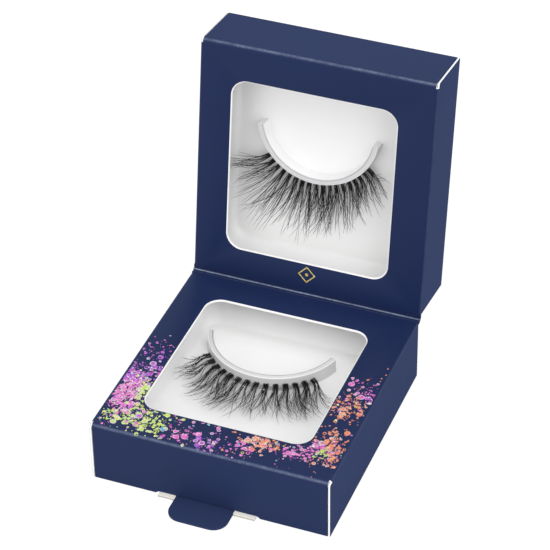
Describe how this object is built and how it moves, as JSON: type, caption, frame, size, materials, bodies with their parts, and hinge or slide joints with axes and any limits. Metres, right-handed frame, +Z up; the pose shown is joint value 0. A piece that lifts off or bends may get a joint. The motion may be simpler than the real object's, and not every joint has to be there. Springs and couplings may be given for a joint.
{
  "type": "false eyelash case",
  "caption": "Folding case of thin board in two windowed halves, each with a tray that holds one strip lash, a tuck flap at the back and a pull tab.",
  "frame": {"origin": "centre of the lower half's base, on the surface that it rests on", "axes": "+X along the fold to the right, +Y away from the pull tab towards the fold, +Z up"},
  "size_m": [0.06, 0.0967, 0.0794],
  "materials": {
    "laminated_board": "matt navy laminate",
    "raw_board": "uncoated white board",
    "tray_plastic": "satin white formed sheet",
    "lash_fibre": "black synthetic fibre"
  },
  "bodies": {
    "lower_box": {"lower_window_panel": "laminated_board", "lower_front_wall": "laminated_board", "lower_hinge_wall": "laminated_board", "lower_left_wall": "laminated_board", "lower_right_wall": "laminated_board", "lower_glue_flap": "raw_board", "lower_front_left_tab": "raw_board", "lower_front_right_tab": "raw_board", "lower_hinge_left_tab": "raw_board", "lower_hinge_right_tab": "raw_board", "lower_tray": "tray_plastic", "lower_lash_band": "lash_fibre", "lower_lash_hairs": "lash_fibre", "fold_crease": "laminated_board"},
    "base_flap": {"lower_base_flap": "laminated_board", "lower_tuck_tongue": "laminated_board", "pull_tab": "laminated_board"},
    "upper_box": {"upper_window_panel": "laminated_board", "upper_top_wall": "laminated_board", "upper_hinge_wall": "laminated_board", "upper_left_wall": "laminated_board", "upper_right_wall": "laminated_board", "upper_glue_flap": "raw_board", "upper_top_left_tab": "raw_board", "upper_top_right_tab": "raw_board", "upper_hinge_left_tab": "raw_board", "upper_hinge_right_tab": "raw_board", "upper_tray": "tray_plastic", "upper_lash_band": "lash_fibre", "upper_lash_hairs": "lash_fibre"},
    "back_flap": {"upper_back_flap": "laminated_board", "upper_tuck_tongue": "laminated_board"}
  },
  "joints": [
    {"name": "fold_hinge", "type": "hinge", "parent": "lower_box", "child": "upper_box", "pos_m": [0, 0.0325, 0.0165], "axis": [1, 0, 0], "range_deg": [-81.8, 98.1]},
    {"name": "base_flap_hinge", "type": "hinge", "parent": "lower_box", "child": "base_flap", "pos_m": [0, 0.03095, 0.00025], "axis": [1, 0, 0], "range_deg": [0, 90]},
    {"name": "back_flap_hinge", "type": "hinge", "parent": "upper_box", "child": "back_flap", "pos_m": [0, 0.04881, 0.01572], "axis": [-1, 0, 0], "range_deg": [0, 90]}
  ]
}
